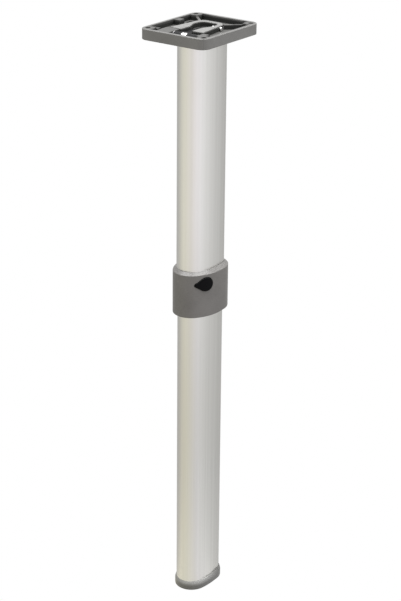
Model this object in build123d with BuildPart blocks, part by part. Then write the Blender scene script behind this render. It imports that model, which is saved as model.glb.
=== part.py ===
from build123d import *
import math
import os

os.makedirs("parts", exist_ok=True)

# Folding, telescopic table leg. Millimetres, +Z up.
# Origin: on the tubes' axis, at the underside of the foot. +X runs along the wide side of the oval tubes.

# ---- overall ----
TOTAL_H = 700.0

# ---- top plate (a shallow die-cast tray) ----
PLATE_X, PLATE_Y, PLATE_T = 104.0, 89.0, 12.0
PLATE_CX = -5.0
PLATE_R = 10.5
PLATE_Z0 = TOTAL_H - PLATE_T
RIM_W = 4.2
FLOOR_Z = TOTAL_H - 6.2
SCREW_DX, SCREW_DY = 87.0, 75.0
SCREW_R = 2.9
BOSS_R = 7.4
U_X0, U_X1 = -28.8, 21.0
U_HALF, U_WAIST = 22.4, 16.6
CHAN_X1 = 15.4
CHAN_HALF, CHAN_WIDE = 7.5, 12.4
U_TOP = TOTAL_H - 0.3
WELL_X0, WELL_X1 = -46.4, U_X0
WELL_Y0, WELL_Y1 = -25.6, 7.5
PIN_BOSS_TOP = TOTAL_H - 0.4

# ---- fold hinge ----
HINGE_X, HINGE_Z = -40.5, 694.9
HINGE_D = 6.0
KNUCKLE_R = 4.6
KNUCKLE_REACH = 8.8
LUG_A = (-24.4, -10.4)
LUG_B = (-3.4, 6.4)
CATCH_X, CATCH_Z, CATCH_D = 8.2, 696.3, 4.2

# ---- tubes: ovals of four tangent arcs (half width, half depth, end radius) ----
UP_A, UP_B, UP_R, UP_T = 33.2, 20.3, 19.0, 1.0
STEP = 1.3
LO_T = 1.2
UP_Z0, UP_Z1 = 374.0, 687.6
LO_Z0, LO_Z1 = 11.6, 448.0
RIVET_X = 8.0

# ---- collar and its release ----
COL_A, COL_B, COL_R, COL_T = 38.75, 27.1, 21.5, 1.5
COL_A2, COL_R2 = 36.4, 26.4
COL_Z0, COL_Z1 = 366.0, 421.2
COL_BEVEL = 3.1
CAV_Z1 = 414.2
LOCK_Z = 406.4
TRAVEL = 1.7
YOKE_T, YOKE_GAP = 0.9, 0.25
PIN_D = 6.0
PITCH, STOPS = 32.0, 7
BTN_R, BTN_TIP_R = 8.5, 2.6
BTN_X0, BTN_X1 = -32.2, -11.2
SPRING_X = -17.5

# ---- foot ----
FOOT_A, FOOT_B, FOOT_R = 33.1, 21.5, 20.1
FOOT_A2, FOOT_R2 = 33.0, 21.3
FOOT_H = 11.6
FOOT_EDGE = 8.4


def oval(a, b, r, mode=Mode.ADD):
    """Oval of four tangent arcs: half width a, half depth b, end arcs of radius r."""
    big = (a * a + b * b - 2 * a * r) / (2 * (b - r))
    cx, cy = a - r, -(big - b)
    ux, uy = cx / (big - r), (big - b) / (big - r)
    tx, ty = ux * big, cy + uy * big
    with BuildLine() as outline:
        ThreePointArc((-tx, ty), (0, b), (tx, ty))
        ThreePointArc((tx, ty), (a, 0), (tx, -ty))
        ThreePointArc((tx, -ty), (0, -b), (-tx, -ty))
        ThreePointArc((-tx, -ty), (-a, 0), (-tx, ty))
    make_face(outline.edges(), mode=mode)


def upper_oval(d=0.0, mode=Mode.ADD):
    """The upper tube's outline, grown by d."""
    oval(UP_A + d, UP_B + d, UP_R + d, mode)


def lower_oval(d=0.0, mode=Mode.ADD):
    """The lower tube's outline, grown by d."""
    oval(UP_A - STEP + d, UP_B - STEP + d, UP_R - STEP + d, mode)


def egg(a, a2, b, r, r2, mode=Mode.ADD):
    """Oval whose +X half is fuller: half widths a (-X) and a2 (+X), half depth b, end arcs r and r2."""
    ends = []
    for half, end in ((a, r), (a2, r2)):
        big = (half * half + b * b - 2 * half * end) / (2 * (b - end))
        drop_c = big - b
        ang = math.atan2(half - end, drop_c)
        ends.append((big * math.sin(ang), big * math.cos(ang) - drop_c,
                     big * math.sin(ang / 2), big * math.cos(ang / 2) - drop_c))
    (lx, ly, lmx, lmy), (rx, ry, rmx, rmy) = ends
    with BuildLine() as outline:
        ThreePointArc((-lx, ly), (-lmx, lmy), (0, b))
        ThreePointArc((0, b), (rmx, rmy), (rx, ry))
        ThreePointArc((rx, ry), (a2, 0), (rx, -ry))
        ThreePointArc((rx, -ry), (rmx, -rmy), (0, -b))
        ThreePointArc((0, -b), (-lmx, -lmy), (-lx, -ly))
        ThreePointArc((-lx, -ly), (-a, 0), (-lx, ly))
    make_face(outline.edges(), mode=mode)


def collar_oval(d=0.0, mode=Mode.ADD):
    """The collar's outline, grown by d."""
    egg(COL_A + d, COL_A2 + d, COL_B + d, COL_R + d, COL_R2 + d, mode)


def foot_oval(d=0.0):
    """The foot's outline, grown by d."""
    egg(FOOT_A + d, FOOT_A2 + d, FOOT_B + d, FOOT_R + d, FOOT_R2 + d)


def drop(d=0.0):
    """The button's drop outline, seen from the front: point towards -X, round end towards +X."""
    rr, rt = BTN_R + d, BTN_TIP_R + d
    xr, xt = BTN_X1 - BTN_R, BTN_X0 + BTN_TIP_R
    c = (rr - rt) / (xr - xt)
    s = math.sqrt(1 - c * c)
    with BuildLine() as outline:
        Line((xt - rt * c, rt * s), (xr - rr * c, rr * s))
        ThreePointArc((xr - rr * c, rr * s), (xr + rr, 0), (xr - rr * c, -rr * s))
        Line((xr - rr * c, -rr * s), (xt - rt * c, -rt * s))
        ThreePointArc((xt - rt * c, -rt * s), (xt - rt, 0), (xt - rt * c, rt * s))
    make_face(outline.edges())


# Planes that look along Y: local x is +X, local y is +Z.
def front(y, z=0.0):
    """Plane facing -Y at the given y, its centre at height z."""
    return Plane(origin=(0, y, z), x_dir=(1, 0, 0), z_dir=(0, -1, 0))


CORNERS = [(PLATE_CX + sx * SCREW_DX / 2, sy * SCREW_DY / 2) for sx in (-1, 1) for sy in (-1, 1)]


def horseshoe(mode=Mode.ADD):
    """Outside of the U-shaped guide: arms that taper towards its rounded closed end."""
    with BuildLine() as outline:
        FilletPolyline(
            (U_X0, -U_HALF), (U_X1, -U_WAIST), (U_X1, U_WAIST), (U_X0, U_HALF),
            radius=[0.6, 10.0, 10.0, 0.6], close=True,
        )
    make_face(outline.edges(), mode=mode)


def pocket(mode=Mode.ADD):
    """Inside of the U: narrow at the mouth, wide before its closed end."""
    with BuildLine() as outline:
        FilletPolyline(
            (U_X0 - 2, -CHAN_HALF), (-12, -CHAN_HALF), (1, -CHAN_WIDE), (CHAN_X1, -CHAN_WIDE + 0.6),
            (CHAN_X1, CHAN_WIDE - 0.6), (1, CHAN_WIDE), (-12, CHAN_HALF), (U_X0 - 2, CHAN_HALF),
            radius=[0.5, 4.0, 4.0, 7.0, 7.0, 4.0, 4.0, 0.5], close=True,
        )
    make_face(outline.edges(), mode=mode)


# ------------------------------------------------------------------ mounting plate
# the U-shaped guide, open towards -X, made apart and added to the tray
with BuildPart() as guide:
    with BuildSketch(Plane.XY.offset(PLATE_Z0 + 2)):
        horseshoe()
    extrude(amount=U_TOP - PLATE_Z0 - 2)
    with BuildSketch(Plane.XY.offset(FLOOR_Z)):
        pocket()
    extrude(amount=10, mode=Mode.SUBTRACT)
    fillet(guide.faces().sort_by(Axis.Z)[-1].edges(), radius=1.2)

with BuildPart() as mounting_plate:
    with BuildSketch(Plane.XY.offset(PLATE_Z0)):
        with Locations((PLATE_CX, 0)):
            RectangleRounded(PLATE_X, PLATE_Y, PLATE_R)
    extrude(amount=PLATE_T)
    fillet(mounting_plate.faces().sort_by(Axis.Z)[-1].edges(), radius=0.7)
    fillet(mounting_plate.faces().sort_by(Axis.Z)[0].edges(), radius=0.5)
    # the tray, with what stands in it left at its own height
    with BuildSketch(Plane.XY.offset(FLOOR_Z)):
        with Locations((PLATE_CX, 0)):
            RectangleRounded(PLATE_X - 2 * RIM_W, PLATE_Y - 2 * RIM_W, PLATE_R - RIM_W)
        with Locations(*CORNERS):
            Circle(BOSS_R, mode=Mode.SUBTRACT)
        # boss over the hinge pin's bore, towards +Y
        with Locations(((-58.0 - 31.4) / 2, (WELL_Y1 - 1 + 24.0) / 2)):
            Rectangle(58.0 - 31.4, 24.0 - WELL_Y1 + 1, mode=Mode.SUBTRACT)
        # boss that closes the bore, towards -Y
        with Locations((HINGE_X + 1.2, -29.6)):
            Rectangle(13.0, 8.0, mode=Mode.SUBTRACT)
        # pad beside the near left corner boss
        with Locations((-45.5, 38.5)):
            Rectangle(25.0, 14.0, mode=Mode.SUBTRACT)
        # boss on the inside of the +Y rim
        with Locations((6.4, 38.5)):
            Rectangle(9.0, 11.0, mode=Mode.SUBTRACT)
        # two ribs from the U's closed end to the corner bosses
        with Locations(Location((26.5, 25.4), 46), Location((26.5, -25.4), -46)):
            Rectangle(26, 2.8, mode=Mode.SUBTRACT)
    extrude(amount=10, mode=Mode.SUBTRACT)
    # trim the bosses and the ribs a little below the rim
    with BuildSketch(Plane.XY.offset(PIN_BOSS_TOP)):
        with Locations((-41.6, 16.0)):
            Rectangle(21.6, 18.0)
        with Locations((HINGE_X + 1.2, -29.6)):
            Rectangle(15.0, 8.2)
        with Locations((6.4, 36.4)):
            Rectangle(10.0, 8.0)
    extrude(amount=2, mode=Mode.SUBTRACT)
    with BuildSketch(Plane.XY.offset(TOTAL_H - 1.2)):
        with Locations(Location((24.5, 23.4), 46), Location((24.5, -23.4), -46)):
            Rectangle(22.0, 5.0)
    extrude(amount=2, mode=Mode.SUBTRACT)
    with BuildSketch(Plane.XY.offset(TOTAL_H - 2.2)):
        with Locations((-36.8, 35.8)):
            Rectangle(9.0, 9.0)
    extrude(amount=3, mode=Mode.SUBTRACT)
    # clear the U's inside of the ribs' ends, then set the U in
    with BuildSketch(Plane.XY.offset(FLOOR_Z)):
        pocket()
    extrude(amount=10, mode=Mode.SUBTRACT)
    add(guide.part)
    # slot for the tongue and the well for the hinge knuckles, both right through
    with BuildSketch(Plane.XY.offset(PLATE_Z0 - 1)):
        with Locations(((WELL_X0 + CHAN_X1 - 0.6) / 2, 0)):
            Rectangle(CHAN_X1 - 0.6 - WELL_X0, 2 * CHAN_HALF - 0.1)
        with Locations(((WELL_X0 + WELL_X1) / 2, (WELL_Y0 + WELL_Y1) / 2)):
            Rectangle(WELL_X1 - WELL_X0, WELL_Y1 - WELL_Y0)
    extrude(amount=FLOOR_Z - PLATE_Z0 + 1.5, mode=Mode.SUBTRACT)
    with BuildSketch(Plane.XY.offset(FLOOR_Z)):
        with Locations(((WELL_X0 + WELL_X1) / 2, (WELL_Y0 + WELL_Y1) / 2)):
            Rectangle(WELL_X1 - WELL_X0, WELL_Y1 - WELL_Y0)
    extrude(amount=10, mode=Mode.SUBTRACT)
    # casting slots through the floor, beside the U
    with BuildSketch(Plane.XY.offset(PLATE_Z0 - 1)):
        with Locations((-8.0, -31.0)):
            SlotOverall(15.0, 5.0)
        with Locations((22.0, 33.5)):
            SlotOverall(10.0, 5.6)
        with Locations(Location((33.0, -8.0), 90)):
            SlotOverall(16.0, 5.0)
    extrude(amount=PLATE_T + 2, mode=Mode.SUBTRACT)
    # screw holes, countersunk from below
    with Locations(Plane(origin=(0, 0, PLATE_Z0), x_dir=(1, 0, 0), z_dir=(0, 0, -1))):
        with Locations(*[(x, -y) for x, y in CORNERS]):
            CounterSinkHole(radius=SCREW_R, counter_sink_radius=5.0, counter_sink_angle=90)
    # bore for the hinge pin: in from the +Y side, blind towards -Y
    with BuildSketch(Plane(origin=(HINGE_X, 48, HINGE_Z), x_dir=(1, 0, 0), z_dir=(0, -1, 0))):
        Circle(HINGE_D / 2 + 0.01)
    extrude(amount=48 + 31.6, mode=Mode.SUBTRACT)
    # bore for the catch pin: through the -Y arm
    with BuildSketch(Plane(origin=(CATCH_X, 0, CATCH_Z), x_dir=(1, 0, 0), z_dir=(0, -1, 0))):
        Circle(CATCH_D / 2 + 0.01)
    extrude(amount=24.0, mode=Mode.SUBTRACT)
mounting_plate.part.label = "mounting_plate"
export_step(mounting_plate.part, "parts/mounting_plate.step")

# ------------------------------------------------------------------ hinge pin and what holds it
with BuildPart() as hinge_pin:
    with BuildSketch(Plane(origin=(HINGE_X, -31.2, HINGE_Z), x_dir=(1, 0, 0), z_dir=(0, 1, 0))):
        Circle(HINGE_D / 2)
    extrude(amount=31.2 + 15.6)
    chamfer(hinge_pin.faces().filter_by(Axis.Y).edges(), length=0.5)
hinge_pin.part.label = "hinge_pin"
export_step(hinge_pin.part, "parts/hinge_pin.step")

with BuildPart() as pin_retainer:
    # headless set screw behind the hinge pin, with a hexagon socket
    with BuildSketch(Plane(origin=(HINGE_X, 15.9, HINGE_Z), x_dir=(1, 0, 0), z_dir=(0, 1, 0))):
        Circle(HINGE_D / 2)
    extrude(amount=7.4)
    chamfer(pin_retainer.faces().filter_by(Axis.Y).edges(), length=0.4)
    with BuildSketch(Plane(origin=(HINGE_X, 23.3, HINGE_Z), x_dir=(1, 0, 0), z_dir=(0, -1, 0))):
        RegularPolygon(radius=1.7, side_count=6)
    extrude(amount=3.5, mode=Mode.SUBTRACT)
pin_retainer.part.label = "pin_retainer"
export_step(pin_retainer.part, "parts/pin_retainer.step")

with BuildPart() as hinge_spacer:
    # bright sleeve on the pin, between the two knuckles
    with BuildSketch(Plane(origin=(HINGE_X, LUG_A[1] + 0.1, HINGE_Z), x_dir=(1, 0, 0), z_dir=(0, 1, 0))):
        Circle(4.4)
        Circle(HINGE_D / 2 + 0.05, mode=Mode.SUBTRACT)
    extrude(amount=LUG_B[0] - LUG_A[1] - 0.2)
    fillet(hinge_spacer.edges().filter_by(GeomType.CIRCLE).sort_by(SortBy.RADIUS)[-2:], radius=0.5)
hinge_spacer.part.label = "hinge_spacer"
export_step(hinge_spacer.part, "parts/hinge_spacer.step")

with BuildPart() as friction_washers:
    for y0 in (WELL_Y0 + 0.1, LUG_B[1] + 0.1):
        with BuildSketch(Plane(origin=(HINGE_X, y0, HINGE_Z), x_dir=(1, 0, 0), z_dir=(0, 1, 0))):
            Circle(4.6)
            Circle(HINGE_D / 2 + 0.05, mode=Mode.SUBTRACT)
        extrude(amount=0.9)
friction_washers.part.label = "friction_washers"
export_step(friction_washers.part, "parts/friction_washers.step")

with BuildPart() as catch_pin:
    # side guide for the tongue, pressed into the -Y arm
    with BuildSketch(Plane(origin=(CATCH_X, -20.4, CATCH_Z), x_dir=(1, 0, 0), z_dir=(0, 1, 0))):
        Circle(CATCH_D / 2)
    extrude(amount=20.4 - 7.5)
    fillet(catch_pin.faces().filter_by(Axis.Y).edges(), radius=0.9)
catch_pin.part.label = "catch_pin"
export_step(catch_pin.part, "parts/catch_pin.step")

# ------------------------------------------------------------------ leg head: plug, tongue and knuckles in one
HEAD_Z0 = 650.0
TONGUE_TOP = 695.2
with BuildPart() as leg_head:
    # plug inside the upper tube, hollow from below
    with BuildSketch(Plane.XY.offset(HEAD_Z0)):
        upper_oval(-UP_T - 0.12)
    extrude(amount=UP_Z1 - HEAD_Z0)
    with BuildSketch(Plane.XY.offset(HEAD_Z0)):
        upper_oval(-UP_T - 3.3)
        Rectangle(80, 2.4, mode=Mode.SUBTRACT)
        with Locations((-12, 0), (12, 0)):
            Rectangle(2.4, 60, mode=Mode.SUBTRACT)
    extrude(amount=UP_Z1 - HEAD_Z0 - 5.0, mode=Mode.SUBTRACT)
    # tongue in the plate's channel
    with BuildSketch(Plane(origin=(0, 7.1, 0), x_dir=(1, 0, 0), z_dir=(0, -1, 0))):
        with BuildLine():
            Polyline(
                (WELL_X1 - 1.2, UP_Z1 - 2), (CHAN_X1 - 1.4, UP_Z1 - 2), (CHAN_X1 - 1.4, TONGUE_TOP - 2.5),
                (CHAN_X1 - 3.2, TONGUE_TOP), (HINGE_X + 9.4, TONGUE_TOP), (HINGE_X + 9.4, UP_Z1 + 0.8),
                (WELL_X1 - 1.2, UP_Z1 + 0.8), close=True,
            )
        make_face()
    extrude(amount=14.2)
    # knuckles on the pin, and the web that joins them to the tongue
    with BuildSketch(Plane(origin=(0, LUG_B[1], 0), x_dir=(1, 0, 0), z_dir=(0, -1, 0))):
        with Locations((HINGE_X, HINGE_Z)):
            Circle(KNUCKLE_R)
    extrude(amount=LUG_B[1] - LUG_B[0])
    with BuildSketch(Plane(origin=(0, LUG_A[1], 0), x_dir=(1, 0, 0), z_dir=(0, -1, 0))):
        with Locations((HINGE_X, HINGE_Z)):
            Circle(KNUCKLE_R)
    extrude(amount=LUG_A[1] - LUG_A[0])
    with BuildSketch(Plane(origin=(0, LUG_B[1], 0), x_dir=(1, 0, 0), z_dir=(0, -1, 0))):
        with Locations((HINGE_X, HINGE_Z)):
            Circle(KNUCKLE_REACH)
        with Locations((HINGE_X - 10 + 3.6, HINGE_Z)):
            Rectangle(20, 30, mode=Mode.SUBTRACT)
        with Locations((HINGE_X, HINGE_Z + 10 + 2.2)):
            Rectangle(30, 20, mode=Mode.SUBTRACT)
        with Locations((HINGE_X, HINGE_Z - 5.0 - 10)):
            Rectangle(30, 20, mode=Mode.SUBTRACT)
    extrude(amount=LUG_B[1] - LUG_A[0])
    # join the tongue to the web
    with BuildSketch(Plane(origin=(0, 7.1, 0), x_dir=(1, 0, 0), z_dir=(0, -1, 0))):
        with Locations((HINGE_X + 10.0, HINGE_Z - 1.5)):
            Rectangle(7.0, 7.0)
    extrude(amount=14.2)
    # keep the middle gap between the knuckles open for the sleeve
    with BuildSketch(Plane(origin=(0, LUG_B[0], 0), x_dir=(1, 0, 0), z_dir=(0, -1, 0))):
        with Locations((HINGE_X, HINGE_Z)):
            Circle(4.6)
    extrude(amount=LUG_B[0] - LUG_A[1], mode=Mode.SUBTRACT)
    # running bore on the pin
    with BuildSketch(Plane(origin=(0, 30, 0), x_dir=(1, 0, 0), z_dir=(0, -1, 0))):
        with Locations((HINGE_X, HINGE_Z)):
            Circle(HINGE_D / 2 + 0.05)
    extrude(amount=60, mode=Mode.SUBTRACT)
    # rivet holes at the rear
    with BuildSketch(Plane(origin=(0, 24, 0), x_dir=(1, 0, 0), z_dir=(0, -1, 0))):
        with Locations((-RIVET_X, 668), (RIVET_X, 668)):
            Circle(2.4)
    extrude(amount=9, mode=Mode.SUBTRACT)
leg_head.part.label = "leg_head"
export_step(leg_head.part, "parts/leg_head.step")

with BuildPart() as head_rivets:
    for x in (-RIVET_X, RIVET_X):
        with BuildSketch(Plane(origin=(x, 16.4, 668), x_dir=(1, 0, 0), z_dir=(0, 1, 0))):
            Circle(2.38)
        extrude(amount=4.2)
        with BuildSketch(Plane(origin=(x, 20.35, 668), x_dir=(1, 0, 0), z_dir=(0, 1, 0))):
            Circle(3.8)
        extrude(amount=1.2)
    fillet(head_rivets.faces().sort_by(Axis.Y)[-2:].edges(), radius=0.9)
head_rivets.part.label = "head_rivets"
export_step(head_rivets.part, "parts/head_rivets.step")

# ------------------------------------------------------------------ upper tube
with BuildPart() as upper_tube:
    with BuildSketch(Plane.XY.offset(UP_Z0)):
        upper_oval()
        upper_oval(-UP_T, mode=Mode.SUBTRACT)
    extrude(amount=UP_Z1 - UP_Z0)
    with BuildSketch(Plane(origin=(0, 24, 0), x_dir=(1, 0, 0), z_dir=(0, -1, 0))):
        with Locations((-RIVET_X, 668), (RIVET_X, 668)):
            Circle(2.4)
        with Locations((0, LOCK_Z)):
            Circle(PIN_D / 2 + 0.1)
        with Locations((-13, 384), (13, 384)):
            Circle(1.5)
    extrude(amount=9, mode=Mode.SUBTRACT)
upper_tube.part.label = "upper_tube"
export_step(upper_tube.part, "parts/upper_tube.step")

# ------------------------------------------------------------------ collar
with BuildPart() as collar:
    with BuildSketch(Plane.XY.offset(COL_Z0)):
        collar_oval()
    extrude(amount=COL_Z1 - COL_BEVEL - COL_Z0)
    # bevelled shoulder at the top
    with BuildSketch(Plane.XY.offset(COL_Z1 - COL_BEVEL)):
        collar_oval()
    with BuildSketch(Plane.XY.offset(COL_Z1)):
        collar_oval(-4.3)
    loft()
    fillet(collar.faces().sort_by(Axis.Z)[0].edges(), radius=1.2)
    fillet(collar.faces().sort_by(Axis.Z)[-1].edges(), radius=0.5)
    fillet(collar.edges().filter_by_position(Axis.Z, COL_Z1 - COL_BEVEL - 0.01, COL_Z1 - COL_BEVEL + 0.01), radius=0.7)
    with BuildSketch(Plane.XY.offset(COL_Z0)):
        collar_oval(-COL_T)
    extrude(amount=CAV_Z1 - COL_Z0, mode=Mode.SUBTRACT)
    with BuildSketch(Plane.XY.offset(COL_Z0)):
        upper_oval(0.1)
    extrude(amount=COL_Z1 - COL_Z0 + 1, mode=Mode.SUBTRACT)
    # window for the button, with room for its travel
    with BuildSketch(front(-8.0, LOCK_Z)):
        drop(0.25)
    extrude(amount=24, mode=Mode.SUBTRACT)
    # countersunk screw holes at the rear
    with BuildSketch(Plane(origin=(0, 30, 0), x_dir=(1, 0, 0), z_dir=(0, -1, 0))):
        with Locations((-13, 384), (13, 384)):
            Circle(1.5)
    extrude(amount=10, mode=Mode.SUBTRACT)
    with BuildSketch(Plane(origin=(0, 30, 0), x_dir=(1, 0, 0), z_dir=(0, -1, 0))):
        with Locations((-13, 384), (13, 384)):
            Circle(3.0)
    extrude(amount=4.6, mode=Mode.SUBTRACT)
collar.part.label = "collar"
export_step(collar.part, "parts/collar.step")

with BuildPart() as guide_bush:
    # closes the collar from below, guides the lower tube and seats the upper tube's end
    with BuildSketch(Plane.XY.offset(COL_Z0 + 0.5)):
        collar_oval(-COL_T - 0.08)
    extrude(amount=27.5)
    with BuildSketch(Plane.XY.offset(COL_Z0)):
        lower_oval(0.08)
    extrude(amount=40, mode=Mode.SUBTRACT)
    with BuildSketch(Plane.XY.offset(UP_Z0 - 0.02)):
        upper_oval(0.08)
    extrude(amount=40, mode=Mode.SUBTRACT)
    with BuildSketch(Plane(origin=(0, 30, 0), x_dir=(1, 0, 0), z_dir=(0, -1, 0))):
        with Locations((-13, 384), (13, 384)):
            Circle(1.5)
    extrude(amount=12, mode=Mode.SUBTRACT)
guide_bush.part.label = "guide_bush"
export_step(guide_bush.part, "parts/guide_bush.step")

with BuildPart() as collar_screws:
    for x in (-13, 13):
        with BuildSketch(Plane(origin=(x, 18.75, 384), x_dir=(1, 0, 0), z_dir=(0, 1, 0))):
            Circle(1.45)
        extrude(amount=7.0)
        with BuildSketch(Plane(origin=(x, 25.45, 384), x_dir=(1, 0, 0), z_dir=(0, 1, 0))):
            Circle(2.8)
        extrude(amount=1.2)
        with BuildSketch(Plane(origin=(x, 26.65, 384), x_dir=(1, 0, 0), z_dir=(0, -1, 0))):
            Rectangle(3.4, 0.8)
            Rectangle(0.8, 3.4)
        extrude(amount=0.9, mode=Mode.SUBTRACT)
collar_screws.part.label = "collar_screws"
export_step(collar_screws.part, "parts/collar_screws.step")

# ------------------------------------------------------------------ lock: yoke, pin, button, spring


def yoke_outline(d, mode=Mode.ADD):
    """The upper tube's outline grown by d, its front half drawn out by the button's travel."""
    a, b, r = UP_A + d, UP_B + d, UP_R + d
    big = (a * a + b * b - 2 * a * r) / (2 * (b - r))
    cx, cy = a - r, -(big - b)
    tx = cx / (big - r) * big
    ty = cy + (big - b) / (big - r) * big
    with BuildLine() as outline:
        ThreePointArc((-tx, ty), (0, b), (tx, ty))
        ThreePointArc((tx, ty), (cx + r * math.cos(0.7), r * math.sin(0.7)), (a, 0))
        Line((a, 0), (a, -TRAVEL))
        ThreePointArc((a, -TRAVEL), (cx + r * math.cos(0.7), -r * math.sin(0.7) - TRAVEL), (tx, -ty - TRAVEL))
        ThreePointArc((tx, -ty - TRAVEL), (0, -b - TRAVEL), (-tx, -ty - TRAVEL))
        ThreePointArc((-tx, -ty - TRAVEL), (-cx - r * math.cos(0.7), -r * math.sin(0.7) - TRAVEL), (-a, -TRAVEL))
        Line((-a, -TRAVEL), (-a, 0))
        ThreePointArc((-a, 0), (-cx - r * math.cos(0.7), r * math.sin(0.7)), (-tx, ty))
    make_face(outline.edges(), mode=mode)


with BuildPart() as lock_yoke:
    with BuildSketch(Plane.XY.offset(LOCK_Z - 6.0)):
        yoke_outline(YOKE_GAP + YOKE_T)
        yoke_outline(YOKE_GAP, mode=Mode.SUBTRACT)
    extrude(amount=11.4)
    # the loop is 6 mm high, widened to full height only behind the button
    with BuildSketch(Plane.YZ.offset(-50)):
        with Locations((20, LOCK_Z - 6.0 + 1.0), (20, LOCK_Z + 5.4 - 0.9)):
            Rectangle(64, 4.0)
    extrude(amount=100, mode=Mode.SUBTRACT)
    with BuildSketch(Plane(origin=(0, 30, 0), x_dir=(1, 0, 0), z_dir=(0, -1, 0))):
        with Locations((0, LOCK_Z)):
            Circle(1.8)
    extrude(amount=20, mode=Mode.SUBTRACT)
    with BuildSketch(front(-14, LOCK_Z)):
        with Locations((SPRING_X, 0)):
            Circle(3.3)
    extrude(amount=12, mode=Mode.SUBTRACT)
lock_yoke.part.label = "lock_yoke"
export_step(lock_yoke.part, "parts/lock_yoke.step")

YOKE_REAR = UP_B + YOKE_GAP
with BuildPart() as lock_pin:
    with BuildSketch(Plane(origin=(0, 17.5, LOCK_Z), x_dir=(1, 0, 0), z_dir=(0, 1, 0))):
        Circle(PIN_D / 2)
    extrude(amount=YOKE_REAR - 17.5 - 0.08)
    chamfer(lock_pin.faces().sort_by(Axis.Y)[0].edges(), length=0.4)
    with BuildSketch(Plane(origin=(0, YOKE_REAR - 0.5, LOCK_Z), x_dir=(1, 0, 0), z_dir=(0, 1, 0))):
        Circle(1.78)
    extrude(amount=0.5 + YOKE_T + 0.1)
    with BuildSketch(Plane(origin=(0, YOKE_REAR + YOKE_T + 0.01, LOCK_Z), x_dir=(1, 0, 0), z_dir=(0, 1, 0))):
        Circle(2.8)
    extrude(amount=0.8)
lock_pin.part.label = "lock_pin"
export_step(lock_pin.part, "parts/lock_pin.step")

with BuildPart() as release_button:
    # drop-shaped body through the window, proud of the collar and following its curve
    with BuildSketch(front(-6.0, LOCK_Z)):
        drop()
    extrude(amount=30)
    with BuildSketch(Plane.XY.offset(LOCK_Z - 12)):
        with BuildLine() as skin:
            ThreePointArc((-10.33, -27.8), (-21.7, -24.1), (-33.8, -16.24))
            Polyline((-33.8, -16.24), (-33.8, 4), (-10.33, 4), (-10.33, -27.8))
        make_face(skin.edges())
    extrude(amount=24, mode=Mode.INTERSECT)
    fillet(release_button.faces().sort_by(Axis.Y)[0].edges(), radius=1.4)
    # its back sits on the yoke
    with BuildSketch(Plane.XY.offset(LOCK_Z - 12)):
        yoke_outline(YOKE_GAP + YOKE_T + 0.03)
    extrude(amount=24, mode=Mode.SUBTRACT)
    # pocket for the spring
    with BuildSketch(front(-12, LOCK_Z)):
        with Locations((SPRING_X, 0)):
            Circle(3.3)
    extrude(amount=12.6, mode=Mode.SUBTRACT)
release_button.part.label = "release_button"
export_step(release_button.part, "parts/release_button.step")

SPRING_D, WIRE_D, COILS = 5.6, 0.6, 4
SPRING_Y0, SPRING_Y1 = -19.6, -24.2
with BuildPart() as button_spring:
    with BuildLine() as coil:
        Helix(
            pitch=(SPRING_Y0 - SPRING_Y1) / COILS, height=SPRING_Y0 - SPRING_Y1, radius=SPRING_D / 2,
            center=(SPRING_X, SPRING_Y0, LOCK_Z), direction=(0, -1, 0),
        )
    with BuildSketch(Plane(origin=coil.line @ 0, z_dir=coil.line % 0)):
        Circle(WIRE_D / 2)
    sweep(path=coil.line, is_frenet=True)
button_spring.part.label = "button_spring"
export_step(button_spring.part, "parts/button_spring.step")

# ------------------------------------------------------------------ lower tube and its ends
with BuildPart() as lower_tube:
    with BuildSketch(Plane.XY.offset(LO_Z0)):
        lower_oval()
        lower_oval(-LO_T, mode=Mode.SUBTRACT)
    extrude(amount=LO_Z1 - LO_Z0)
    with BuildSketch(Plane(origin=(0, 24, 0), x_dir=(1, 0, 0), z_dir=(0, -1, 0))):
        with Locations(*[(0, LOCK_Z - k * PITCH) for k in range(STOPS)]):
            Circle(PIN_D / 2 + 0.1)
    extrude(amount=9, mode=Mode.SUBTRACT)
    with BuildSketch(Plane.YZ.offset(-40)):
        with Locations((0, 437), (0, 30)):
            Circle(1.6)
    extrude(amount=80, mode=Mode.SUBTRACT)
lower_tube.part.label = "lower_tube"
export_step(lower_tube.part, "parts/lower_tube.step")

with BuildPart() as tube_slider:
    # top guide: a plug in the lower tube with a flange that runs in the upper tube
    with BuildSketch(Plane.XY.offset(426)):
        lower_oval(-LO_T - 0.08)
    extrude(amount=LO_Z1 - 426)
    with BuildSketch(Plane.XY.offset(LO_Z1)):
        upper_oval(-UP_T - 0.1)
    extrude(amount=4.0)
    with BuildSketch(Plane.XY.offset(426)):
        lower_oval(-LO_T - 2.6)
    extrude(amount=30, mode=Mode.SUBTRACT)
    with BuildSketch(Plane.YZ.offset(-40)):
        with Locations((0, 437)):
            Circle(1.6)
    extrude(amount=80, mode=Mode.SUBTRACT)
tube_slider.part.label = "tube_slider"
export_step(tube_slider.part, "parts/tube_slider.step")

LO_A = UP_A - STEP
with BuildPart() as slider_rivets:
    for s in (-1, 1):
        with BuildSketch(Plane(origin=(s * (LO_A - 0.1), 0, 437), x_dir=(0, 1, 0), z_dir=(-s, 0, 0))):
            Circle(1.58)
        extrude(amount=3.6)
slider_rivets.part.label = "slider_rivets"
export_step(slider_rivets.part, "parts/slider_rivets.step")

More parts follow.
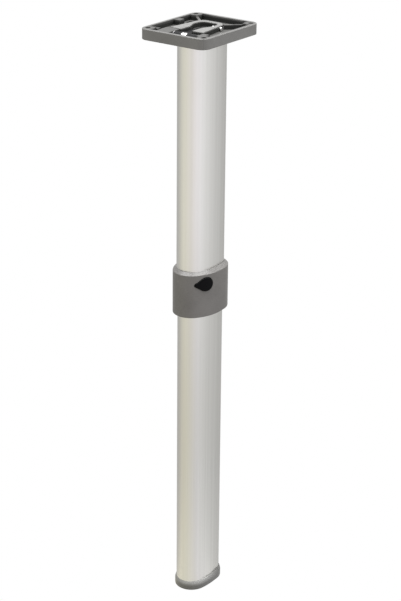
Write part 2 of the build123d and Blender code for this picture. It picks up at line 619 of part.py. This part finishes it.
with BuildPart() as foot_cap:
    with BuildSketch(Plane.XY):
        foot_oval()
    extrude(amount=FOOT_EDGE)
    # shoulder that slopes up to the tube
    with BuildSketch(Plane.XY.offset(FOOT_EDGE)):
        foot_oval()
    with BuildSketch(Plane.XY.offset(FOOT_H - 0.02)):
        foot_oval(-0.9)
    loft()
    fillet(foot_cap.edges().filter_by_position(Axis.Z, FOOT_EDGE - 0.01, FOOT_EDGE + 0.01), radius=1.5)
    fillet(foot_cap.faces().sort_by(Axis.Z)[0].edges(), radius=1.6)
    # plug with ribs inside the lower tube
    with BuildSketch(Plane.XY.offset(FOOT_H - 2)):
        lower_oval(-LO_T - 0.08)
        lower_oval(-LO_T - 2.6, mode=Mode.SUBTRACT)
        Rectangle(50, 2.2)
        with Locations((-10, 0), (10, 0)):
            Rectangle(2.2, 30)
    extrude(amount=32)
    with BuildSketch(Plane.YZ.offset(-40)):
        with Locations((0, 30)):
            Circle(1.6)
    extrude(amount=80, mode=Mode.SUBTRACT)
foot_cap.part.label = "foot_cap"
export_step(foot_cap.part, "parts/foot_cap.step")

with BuildPart() as foot_rivets:
    for s in (-1, 1):
        with BuildSketch(Plane(origin=(s * (LO_A - 0.1), 0, 30), x_dir=(0, 1, 0), z_dir=(-s, 0, 0))):
            Circle(1.58)
        extrude(amount=3.6)
foot_rivets.part.label = "foot_rivets"
export_step(foot_rivets.part, "parts/foot_rivets.step")
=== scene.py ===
import math

import bmesh
import bpy
from mathutils import Matrix, Vector


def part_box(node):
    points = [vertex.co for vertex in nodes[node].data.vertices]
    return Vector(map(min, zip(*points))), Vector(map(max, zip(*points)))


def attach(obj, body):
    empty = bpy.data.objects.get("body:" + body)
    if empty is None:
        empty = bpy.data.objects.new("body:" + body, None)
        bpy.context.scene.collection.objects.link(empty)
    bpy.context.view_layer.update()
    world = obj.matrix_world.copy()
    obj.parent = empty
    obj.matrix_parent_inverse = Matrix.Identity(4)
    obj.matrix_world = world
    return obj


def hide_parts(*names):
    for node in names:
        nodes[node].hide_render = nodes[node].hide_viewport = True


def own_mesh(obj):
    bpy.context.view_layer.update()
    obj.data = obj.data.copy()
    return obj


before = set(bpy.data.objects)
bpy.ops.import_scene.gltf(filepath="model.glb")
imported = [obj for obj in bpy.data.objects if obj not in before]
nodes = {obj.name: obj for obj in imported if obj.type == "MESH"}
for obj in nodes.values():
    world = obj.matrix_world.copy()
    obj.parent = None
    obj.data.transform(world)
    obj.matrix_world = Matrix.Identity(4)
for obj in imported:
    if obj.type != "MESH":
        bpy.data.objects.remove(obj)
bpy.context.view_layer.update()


# ---------------------------------------------------------------- node helpers
class Mat:
    """A material and short calls for building its nodes."""

    def __init__(self, name):
        self.m = bpy.data.materials.new(name)
        self.m.use_nodes = True
        self.t = self.m.node_tree
        self.bsdf = next(n for n in self.t.nodes if n.type == "BSDF_PRINCIPLED")
        self.coord = self.t.nodes.new("ShaderNodeTexCoord").outputs["Object"]

    def link(self, a, b):
        self.t.links.new(a, b)

    def set(self, **values):
        for k, v in values.items():
            self.bsdf.inputs[k.replace("_", " ")].default_value = v

    def stretch(self, scale, source=None):
        n = self.t.nodes.new("ShaderNodeMapping")
        n.inputs["Scale"].default_value = scale
        self.link(source or self.coord, n.inputs["Vector"])
        return n.outputs["Vector"]

    def noise(self, scale, detail=3.0, rough=0.5, vec=None, distortion=0.0):
        n = self.t.nodes.new("ShaderNodeTexNoise")
        n.inputs["Scale"].default_value = scale
        n.inputs["Detail"].default_value = detail
        n.inputs["Roughness"].default_value = rough
        n.inputs["Distortion"].default_value = distortion
        self.link(vec or self.coord, n.inputs["Vector"])
        return n.outputs["Fac"]

    def voronoi(self, scale, vec=None, feature="F1"):
        n = self.t.nodes.new("ShaderNodeTexVoronoi")
        n.feature = feature
        n.inputs["Scale"].default_value = scale
        self.link(vec or self.coord, n.inputs["Vector"])
        return n.outputs["Distance"]

    def remap(self, fac, a, b, lo=0.0, hi=1.0):
        n = self.t.nodes.new("ShaderNodeMapRange")
        n.inputs["From Min"].default_value = a
        n.inputs["From Max"].default_value = b
        n.inputs["To Min"].default_value = lo
        n.inputs["To Max"].default_value = hi
        self.link(fac, n.inputs["Value"])
        return n.outputs["Result"]

    def math(self, op, a, b):
        n = self.t.nodes.new("ShaderNodeMath")
        n.operation = op
        for i, v in enumerate((a, b)):
            if isinstance(v, (int, float)):
                n.inputs[i].default_value = v
            else:
                self.link(v, n.inputs[i])
        return n.outputs[0]

    def mix(self, fac, a, b):
        n = self.t.nodes.new("ShaderNodeMix")
        n.data_type = "RGBA"
        rgba = [s for s in n.inputs if s.type == "RGBA"]
        fac_in = n.inputs[0]
        if isinstance(fac, (int, float)):
            fac_in.default_value = fac
        else:
            self.link(fac, fac_in)
        for s, v in zip(rgba, (a, b)):
            if isinstance(v, tuple):
                s.default_value = (*v, 1.0)
            else:
                self.link(v, s)
        return next(o for o in n.outputs if o.type == "RGBA")

    def near(self, at, x, y, inner, outer, far):
        """1 close to the upright line at x, y, falling to far."""
        dx, dy = self.math("ADD", at.outputs["X"], -x), self.math("ADD", at.outputs["Y"], -y)
        d2 = self.math("ADD", self.math("MULTIPLY", dx, dx), self.math("MULTIPLY", dy, dy))
        return self.remap(self.math("SQRT", d2, 0.0), inner, outer, 1.0, far)

    def bump(self, height, strength, distance, normal=None):
        n = self.t.nodes.new("ShaderNodeBump")
        n.inputs["Strength"].default_value = strength
        n.inputs["Distance"].default_value = distance
        self.link(height, n.inputs["Height"])
        if normal is not None:
            self.link(normal, n.inputs["Normal"])
        return n.outputs["Normal"]

    def out(self, color=None, rough=None, normal=None):
        if color is not None:
            self.link(color, self.bsdf.inputs["Base Color"])
        if rough is not None:
            self.link(rough, self.bsdf.inputs["Roughness"])
        if normal is not None:
            self.link(normal, self.bsdf.inputs["Normal"])
        return self.m


def drawn_aluminium(name):
    """Satin anodised tube: faint lines drawn along its length, cloudy sheen, a few fine scuffs."""
    k = Mat(name)
    k.set(Metallic=1.0)
    k.bsdf.inputs["Anisotropic"].default_value = 0.35
    lines = k.noise(1.0, 4.0, 0.6, k.stretch((2600.0, 2600.0, 3.0)))
    broad = k.noise(1.0, 3.0, 0.5, k.stretch((260.0, 260.0, 1.6)))
    cloud = k.noise(9.0, 3.0, 0.5)
    speck = k.noise(900.0, 2.0, 0.7)
    tone = k.math("ADD", k.math("MULTIPLY", lines, 0.35), k.math("MULTIPLY", broad, 0.65))
    col = k.mix(k.remap(tone, 0.3, 0.7), (0.70, 0.695, 0.675), (0.80, 0.795, 0.78))
    col = k.mix(k.remap(cloud, 0.35, 0.7, 0.0, 0.35), col, (0.75, 0.735, 0.70))
    rough = k.math("ADD", k.remap(lines, 0.3, 0.7, 0.27, 0.36), k.remap(cloud, 0.3, 0.7, -0.02, 0.03))
    n = k.bump(lines, 0.10, 0.00002)
    n = k.bump(speck, 0.06, 0.00002, n)
    return k.out(col, rough, n)


def moulded_grey(name, base, light, grain=1500.0, depth=0.00006, rough=(0.42, 0.55)):
    """Grey plastic or painted casting with a fine eroded grain, faint flow clouds and rubbed high spots."""
    k = Mat(name)
    k.bsdf.inputs["Specular IOR Level"].default_value = 0.45
    fine = k.noise(grain, 3.0, 0.65)
    pits = k.voronoi(grain * 0.7)
    cloud = k.noise(22.0, 4.0, 0.55, distortion=0.4)
    rub = k.noise(70.0, 5.0, 0.7)
    col = k.mix(k.remap(cloud, 0.35, 0.68), base, light)
    col = k.mix(k.remap(rub, 0.62, 0.78, 0.0, 0.35), col, tuple(min(1.0, c * 1.5) for c in light))
    col = k.mix(k.remap(fine, 0.35, 0.7, 0.0, 0.22), col, tuple(c * 0.7 for c in base))
    r = k.math("ADD", k.remap(fine, 0.3, 0.7, *rough), k.remap(rub, 0.55, 0.8, 0.0, -0.08))
    n = k.bump(fine, 0.35, depth)
    n = k.bump(pits, 0.18, depth, n)
    n = k.bump(cloud, 0.10, 0.0002, n)
    return k.out(col, r, n)


def cast_plate(name):
    """Grey casting: grained like the mouldings, with painted shade darkening the walls and corners inside the
    tray, the walls more than the floor.
    """
    m = moulded_grey(name, (0.132, 0.130, 0.125), (0.166, 0.164, 0.158))
    k = Mat.__new__(Mat)
    k.m, k.t = m, m.node_tree
    k.bsdf = next(n for n in k.t.nodes if n.type == "BSDF_PRINCIPLED")
    tc = k.t.nodes.new("ShaderNodeTexCoord")
    k.coord = tc.outputs["Object"]
    at = k.t.nodes.new("ShaderNodeSeparateXYZ")
    k.link(tc.outputs["Object"], at.inputs[0])
    nrm = k.t.nodes.new("ShaderNodeSeparateXYZ")
    k.link(tc.outputs["Normal"], nrm.inputs[0])
    # painted shade: inside the tray, below the rim top, the colour is mixed towards near-black, on up-facing
    # floor less than on walls
    in_x = k.remap(k.math("ABSOLUTE", k.math("ADD", at.outputs["X"], 0.005), 0.0), 0.0492, 0.0486)
    in_y = k.remap(k.math("ABSOLUTE", at.outputs["Y"], 0.0), 0.0417, 0.0411)
    below = k.remap(at.outputs["Z"], 0.6997, 0.6975)
    above = k.remap(at.outputs["Z"], 0.6884, 0.6888)
    inside = k.math("MULTIPLY", k.math("MULTIPLY", in_x, in_y), k.math("MULTIPLY", below, above))
    up = k.remap(nrm.outputs["Z"], 0.3, 0.9)
    wall = k.math("MULTIPLY", inside, k.math("SUBTRACT", 1.0, k.math("MULTIPLY", up, 0.55)))
    src = k.bsdf.inputs["Base Color"].links[0].from_socket
    col = k.mix(k.math("MULTIPLY", wall, 0.93), src, (0.008, 0.009, 0.0075))
    # top faces lightened in noise patches, the rim a little and the guide more; then the faces above 697.5 mm
    # outside the guide strip are darkened
    top = k.math("MULTIPLY", k.remap(at.outputs["Z"], 0.69935, 0.69955), up)
    patch_noise = k.noise(260.0, 4.0, 0.6)
    col = k.mix(k.math("MULTIPLY", top, k.remap(patch_noise, 0.35, 0.65, 0.05, 0.3)), col, (0.22, 0.22, 0.216))
    on_u = k.math("MULTIPLY", k.remap(at.outputs["X"], -0.0292, -0.0287), k.remap(k.math("ABSOLUTE", at.outputs["Y"], 0.0), 0.0232, 0.0226))
    guide = k.math("MULTIPLY", k.math("MULTIPLY", on_u, k.remap(at.outputs["X"], 0.0218, 0.0212)), top)
    col = k.mix(k.math("MULTIPLY", guide, k.remap(patch_noise, 0.35, 0.65, 0.3, 0.9)), col, (0.235, 0.235, 0.23))
    boss = k.math("MULTIPLY", k.math("MULTIPLY", k.math("MULTIPLY", in_x, in_y), k.remap(at.outputs["Z"], 0.6973, 0.6976)), k.math("SUBTRACT", 1.0, on_u))
    col = k.mix(k.math("MULTIPLY", boss, 0.6), col, (0.045, 0.045, 0.043))
    k.out(color=col)
    return m


def foot_plastic(name):
    """Moulded foot: grained grey, with a painted highlight on its sloping shoulder, strongest on the side
    toward -X and -Y, and darker in patches just above the ground.
    """
    m = moulded_grey(name, (0.120, 0.118, 0.114), (0.155, 0.153, 0.148), grain=1200.0, depth=0.00003, rough=(0.24, 0.34))
    k = Mat.__new__(Mat)
    k.m, k.t = m, m.node_tree
    k.bsdf = next(n for n in k.t.nodes if n.type == "BSDF_PRINCIPLED")
    k.coord = k.t.nodes.new("ShaderNodeTexCoord").outputs["Object"]
    at = k.t.nodes.new("ShaderNodeSeparateXYZ")
    k.link(k.coord, at.inputs[0])
    foot_patches = k.noise(180.0, 4.0, 0.6)
    # painted highlight: band from 5.4 mm up, full from 11 mm, in noise patches and strongest on the side
    # toward -X and -Y
    ring = k.math("MULTIPLY", k.remap(at.outputs["Z"], 0.0054, 0.0110), k.remap(foot_patches, 0.3, 0.7, 0.75, 1.0))
    ring = k.math("MULTIPLY", ring, k.near(at, -0.022, -0.017, 0.014, 0.038, 0.05))
    src = k.bsdf.inputs["Base Color"].links[0].from_socket
    col = k.mix(ring, src, (0.40, 0.40, 0.39))
    # darker in noise patches within 3 mm of the ground
    low = k.math("MULTIPLY", k.remap(at.outputs["Z"], 0.0030, 0.0012), k.remap(foot_patches, 0.4, 0.7, 0.2, 0.8))
    col = k.mix(low, col, (0.07, 0.069, 0.066))
    k.out(color=col)
    return m


def collar_plastic(name):
    """Moulded collar: grained grey, with a painted highlight on the slope round its top, strongest on the
    side toward -X and -Y.
    """
    m = moulded_grey(name, (0.136, 0.130, 0.124), (0.168, 0.161, 0.154), grain=1300.0, depth=0.00003, rough=(0.24, 0.34))
    k = Mat.__new__(Mat)
    k.m, k.t = m, m.node_tree
    k.bsdf = next(n for n in k.t.nodes if n.type == "BSDF_PRINCIPLED")
    tc = k.t.nodes.new("ShaderNodeTexCoord")
    k.coord = tc.outputs["Object"]
    at = k.t.nodes.new("ShaderNodeSeparateXYZ")
    k.link(k.coord, at.inputs[0])
    nrm = k.t.nodes.new("ShaderNodeSeparateXYZ")
    k.link(tc.outputs["Normal"], nrm.inputs[0])
    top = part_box("collar")[1][2]
    patch_noise = k.noise(90.0, 4.0, 0.6)
    # painted highlight: up-facing faces from 10 mm below the top, full from 3 mm below, in noise patches and
    # strongest on the side toward -X and -Y
    slope = k.math("MULTIPLY", k.remap(nrm.outputs["Z"], 0.10, 0.40), k.remap(at.outputs["Z"], top - 0.010, top - 0.003))
    slope = k.math("MULTIPLY", slope, k.near(at, -0.012, -0.027, 0.018, 0.050, 0.15))
    col = k.mix(k.math("MULTIPLY", slope, k.remap(patch_noise, 0.3, 0.7, 0.6, 1.0)), k.bsdf.inputs["Base Color"].links[0].from_socket, (0.27, 0.264, 0.256))
    k.out(color=col)
    return m


def black_gloss(name):
    """Polished black moulding: slight orange peel and hair scratches."""
    k = Mat(name)
    k.bsdf.inputs["Specular IOR Level"].default_value = 0.07
    peel = k.noise(330.0, 2.0, 0.4)
    hair = k.noise(1.0, 2.0, 0.5, k.stretch((350.0, 350.0, 5200.0)))
    dust = k.noise(2400.0, 2.0, 0.8)
    col = k.mix(k.remap(dust, 0.66, 0.8), (0.0022, 0.0022, 0.0026), (0.009, 0.009, 0.010))
    r = k.math("ADD", k.remap(hair, 0.45, 0.75, 0.13, 0.22), k.remap(dust, 0.6, 0.8, 0.0, 0.1))
    n = k.bump(peel, 0.12, 0.00008)
    n = k.bump(hair, 0.05, 0.00002, n)
    return k.out(col, r, n)


def black_filled(name, base=(0.006, 0.006, 0.0065), light=(0.016, 0.016, 0.0165)):
    """Dull black glass-filled plastic with short fibre marks."""
    k = Mat(name)
    k.bsdf.inputs["Specular IOR Level"].default_value = 0.2
    fibre = k.noise(1.0, 3.0, 0.6, k.stretch((900.0, 400.0, 300.0)))
    fine = k.noise(1900.0, 3.0, 0.6)
    cloud = k.noise(40.0, 3.0, 0.5)
    col = k.mix(k.remap(fibre, 0.45, 0.72), base, light)
    r = k.math("ADD", k.remap(fine, 0.3, 0.7, 0.42, 0.58), k.remap(cloud, 0.3, 0.7, -0.04, 0.04))
    n = k.bump(fine, 0.3, 0.00005)
    n = k.bump(fibre, 0.2, 0.00004, n)
    return k.out(col, r, n)


def turned_steel(name, axis, base=(0.60, 0.60, 0.59), light=(0.78, 0.78, 0.77)):
    """Zinc-plated steel with turning marks round the given axis (0, 1 or 2)."""
    k = Mat(name)
    k.set(Metallic=1.0)
    s = [120.0, 120.0, 120.0]
    s[axis] = 4200.0
    marks = k.noise(1.0, 3.0, 0.6, k.stretch(tuple(s)))
    spangle = k.voronoi(700.0)
    fine = k.noise(2600.0, 2.0, 0.6)
    col = k.mix(k.remap(marks, 0.3, 0.7), base, light)
    col = k.mix(k.remap(spangle, 0.2, 0.8, 0.0, 0.25), col, (0.66, 0.65, 0.60))
    r = k.math("ADD", k.remap(marks, 0.3, 0.7, 0.20, 0.34), k.remap(fine, 0.4, 0.8, 0.0, 0.08))
    n = k.bump(marks, 0.2, 0.00003)
    n = k.bump(fine, 0.1, 0.00002, n)
    return k.out(col, r, n)


# ---------------------------------------------------------------- finishes on the CAD nodes
tube = drawn_aluminium("tube_silver")
plate = cast_plate("plate_grey")
collar = collar_plastic("collar_grey")
foot = foot_plastic("foot_grey")
button = black_gloss("button_black")
head = black_filled("head_black")
bush = black_filled("bush_dark", (0.03, 0.03, 0.03), (0.06, 0.06, 0.058))
bright_y = turned_steel("bright_pins", 1, (0.88, 0.88, 0.87), (0.97, 0.97, 0.96))
steel_y = turned_steel("steel_pins", 1)
steel_x = turned_steel("steel_rivets", 0)
spring = turned_steel("spring_steel", 2, (0.30, 0.30, 0.31), (0.48, 0.48, 0.48))

FINISH = {
    "mounting_plate": plate,
    "hinge_pin": steel_y,
    "pin_retainer": steel_y,
    "hinge_spacer": bright_y,
    "friction_washers": spring,
    "catch_pin": bright_y,
    "leg_head": head,
    "head_rivets": steel_y,
    "upper_tube": tube,
    "collar": collar,
    "guide_bush": bush,
    "collar_screws": steel_y,
    "release_button": button,
    "lock_yoke": spring,
    "lock_pin": steel_y,
    "button_spring": spring,
    "lower_tube": tube,
    "tube_slider": bush,
    "slider_rivets": steel_x,
    "foot_cap": foot,
    "foot_rivets": steel_x,
}
for name, obj in nodes.items():
    for s in obj.material_slots:
        s.material = FINISH[name]

# ---------------------------------------------------------------- the button's spring, coiled from the tube's wall into the button's pocket
def coil_spring(name, x, z, y_tube, y_button, mean_r, wire_r, turns, closed, start):
    """Wire coiled along -Y from the tube's wall; its last turn lies flat in the button's pocket."""
    per_turn, round_wire = 36, 12
    flat = closed * wire_r * 2.02
    rise = (y_tube - y_button) - flat
    bm = bmesh.new()
    rings = []
    count = int(turns * per_turn)
    for i in range(count + 1):
        t = turns * i / count
        active = min(t, turns - closed) / (turns - closed)
        y = y_tube - rise * active - flat * max(0.0, t - (turns - closed)) / closed
        a = start + 2.0 * math.pi * t
        out_dir = Vector((math.cos(a), 0.0, math.sin(a)))
        mid = Vector((x, y, z)) + out_dir * mean_r
        # the ends of the wire are cut and slightly rounded
        end = min(i, count - i)
        r = wire_r * (0.72 if end == 0 else 0.93 if end == 1 else 1.0)
        rings.append([
            bm.verts.new(mid + (out_dir * math.cos(b) + Vector((0.0, 1.0, 0.0)) * math.sin(b)) * r)
            for b in (2.0 * math.pi * j / round_wire for j in range(round_wire))
        ])
    for p, q in zip(rings, rings[1:]):
        for j in range(round_wire):
            n = (j + 1) % round_wire
            bm.faces.new((p[j], p[n], q[n], q[j]))
    bm.faces.new(rings[0])
    bm.faces.new(list(reversed(rings[-1])))
    bmesh.ops.recalc_face_normals(bm, faces=bm.faces)
    mesh = bpy.data.meshes.new(name)
    bm.to_mesh(mesh)
    bm.free()
    for poly in mesh.polygons:
        poly.use_smooth = len(poly.vertices) == 4
    obj = bpy.data.objects.new(name, mesh)
    bpy.context.scene.collection.objects.link(obj)
    obj.data.materials.append(spring)
    return obj


coil = coil_spring("button_coil", -0.0175, 0.4064, -0.0196, -0.0242, 0.0028, 0.0003, 4.6, 0.9, -math.pi / 2)
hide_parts("button_spring")
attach(coil, "upper_leg")
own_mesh(coil)

# ---------------------------------------------------------------- camera, as the photograph sees the leg
YAW, PITCH, ROLL = 0.937, 0.390, 0.009
EYE = Vector((-1.46448, -1.07704, 1.12130))
fw = Vector((math.sin(YAW) * math.cos(PITCH), math.cos(YAW) * math.cos(PITCH), -math.sin(PITCH)))
rt = Vector((math.cos(YAW), -math.sin(YAW), 0.0))
up = rt.cross(fw)
r2 = rt * math.cos(ROLL) + up * math.sin(ROLL)
u2 = -rt * math.sin(ROLL) + up * math.cos(ROLL)
cam_data = bpy.data.cameras.new("camera")
cam_data.sensor_width = 36.0
cam_data.lens = 1686.0 / 601.0 * 36.0
cam_data.clip_end = 60.0
cam = bpy.data.objects.new("camera", cam_data)
bpy.context.scene.collection.objects.link(cam)
m = Matrix.Identity(4)
for i in range(3):
    m[i][0], m[i][1], m[i][2], m[i][3] = r2[i], u2[i], -fw[i], EYE[i]
cam.matrix_world = m
bpy.context.scene.camera = cam

# ---------------------------------------------------------------- floor and light
bpy.ops.mesh.primitive_plane_add(size=24.0, location=(0, 0, -0.0002))
floor = bpy.context.object
floor.name = "floor"
fm = bpy.data.materials.new("floor_white")
fm.use_nodes = True
ft = fm.node_tree
for n in list(ft.nodes):
    ft.nodes.remove(n)


def fnode(kind, **props):
    n = ft.nodes.new(kind)
    for k, v in props.items():
        setattr(n, k, v)
    return n


# white sheet: camera rays see plain white emission; other rays see a glow, painted bounce light softly shaded
# around the leg, as between cards in a studio
out = fnode("ShaderNodeOutputMaterial")
seen = fnode("ShaderNodeEmission")
seen.inputs["Strength"].default_value = 1.0
glow = fnode("ShaderNodeEmission")
pick = fnode("ShaderNodeMixShader")
path = fnode("ShaderNodeLightPath")
geo = fnode("ShaderNodeNewGeometry")
xyz = fnode("ShaderNodeSeparateXYZ")
ang = fnode("ShaderNodeMath", operation="ARCTAN2")
turn = fnode("ShaderNodeMapRange")
ramp = fnode("ShaderNodeValToRGB")
dist = fnode("ShaderNodeVectorMath", operation="LENGTH")
reach = fnode("ShaderNodeMapRange", interpolation_type="SMOOTHSTEP")
foot_up = fnode("ShaderNodeMapRange", interpolation_type="SMOOTHSTEP")
both = fnode("ShaderNodeMix", data_type="RGBA")
outer = fnode("ShaderNodeValToRGB")
ft.links.new(geo.outputs["Position"], xyz.inputs[0])
ft.links.new(xyz.outputs["Y"], ang.inputs[0])
ft.links.new(xyz.outputs["X"], ang.inputs[1])
turn.inputs["From Min"].default_value = -math.pi
turn.inputs["From Max"].default_value = math.pi
ft.links.new(ang.outputs[0], turn.inputs["Value"])
ft.links.new(turn.outputs["Result"], ramp.inputs[0])
ft.links.new(turn.outputs["Result"], outer.inputs[0])
# brightness round the leg by compass angle, near it and further out
INNER = [
    (-180, 0.73, 0.71, 0.60), (-150, 0.74, 0.72, 0.66), (-110, 0.76, 0.75, 0.76), (-62, 0.75, 0.75, 0.74),
    (-44, 0.62, 0.62, 0.61), (-20, 0.52, 0.52, 0.51), (95, 0.52, 0.51, 0.49), (150, 0.77, 0.74, 0.62), (180, 0.73, 0.71, 0.60),
]
OUTER = [
    (-180, 0.95, 0.92, 0.85), (-150, 0.98, 0.94, 0.93), (-122, 1.10, 1.07, 1.11), (-80, 1.04, 1.04, 1.06),
    (-57, 0.95, 0.95, 0.95), (-44, 0.74, 0.74, 0.74), (-16, 0.50, 0.50, 0.49), (90, 0.53, 0.53, 0.52), (150, 0.95, 0.93, 0.80),
    (180, 0.95, 0.92, 0.85),
]
for node, stops in ((ramp, INNER), (outer, OUTER)):
    els = node.color_ramp.elements
    while len(els) > 1:
        els.remove(els[-1])
    els[0].position = 0.0
    els[0].color = (*stops[0][1:], 1)
    for deg, r, g, b in stops[1:]:
        e = els.new((deg + 180) / 360.0)
        e.color = (r, g, b, 1)
ft.links.new(geo.outputs["Position"], dist.inputs[0])
reach.inputs["From Min"].default_value = 0.5
reach.inputs["From Max"].default_value = 1.6
ft.links.new(dist.outputs["Value"], reach.inputs["Value"])
foot_up.inputs["From Min"].default_value = 0.05
foot_up.inputs["From Max"].default_value = 0.40
foot_up.inputs["To Min"].default_value = 1.15
foot_up.inputs["To Max"].default_value = 1.0
ft.links.new(dist.outputs["Value"], foot_up.inputs["Value"])
ft.links.new(reach.outputs["Result"], both.inputs[0])
ab = [q for q in both.inputs if q.type == "RGBA"]
ft.links.new(ramp.outputs["Color"], ab[0])
ft.links.new(outer.outputs["Color"], ab[1])
ft.links.new(next(q for q in both.outputs if q.type == "RGBA"), glow.inputs["Color"])
ft.links.new(foot_up.outputs["Result"], glow.inputs["Strength"])
ft.links.new(path.outputs["Is Camera Ray"], pick.inputs[0])
ft.links.new(glow.outputs[0], pick.inputs[1])
ft.links.new(seen.outputs[0], pick.inputs[2])
ft.links.new(pick.outputs[0], out.inputs["Surface"])
floor.data.materials.append(fm)

world = bpy.data.worlds.new("studio")
bpy.context.scene.world = world
world.use_nodes = True
wt = world.node_tree
bg = next(n for n in wt.nodes if n.type == "BACKGROUND")
bg.inputs["Color"].default_value = (1.0, 1.0, 1.0, 1)
bg.inputs["Strength"].default_value = 0.5


def softbox(name, where, aim, size, power, color=(1, 1, 1)):
    d = bpy.data.lights.new(name, "AREA")
    d.shape = "RECTANGLE"
    d.size, d.size_y = size
    d.energy = power
    d.color = color
    o = bpy.data.objects.new(name, d)
    bpy.context.scene.collection.objects.link(o)
    o.location = where
    o.rotation_euler = (Vector(aim) - Vector(where)).to_track_quat("-Z", "Y").to_euler()
    return o


softbox("top", (0.0, 0.1, 2.9), (0, 0, 0.6), (3.0, 3.0), 150.0)
softbox("key", (1.0, -2.3, 1.5), (0, 0, 0.55), (0.9, 1.2), 17.0)

bpy.context.scene.view_settings.view_transform = "Standard"
bpy.context.scene.view_settings.look = "None"
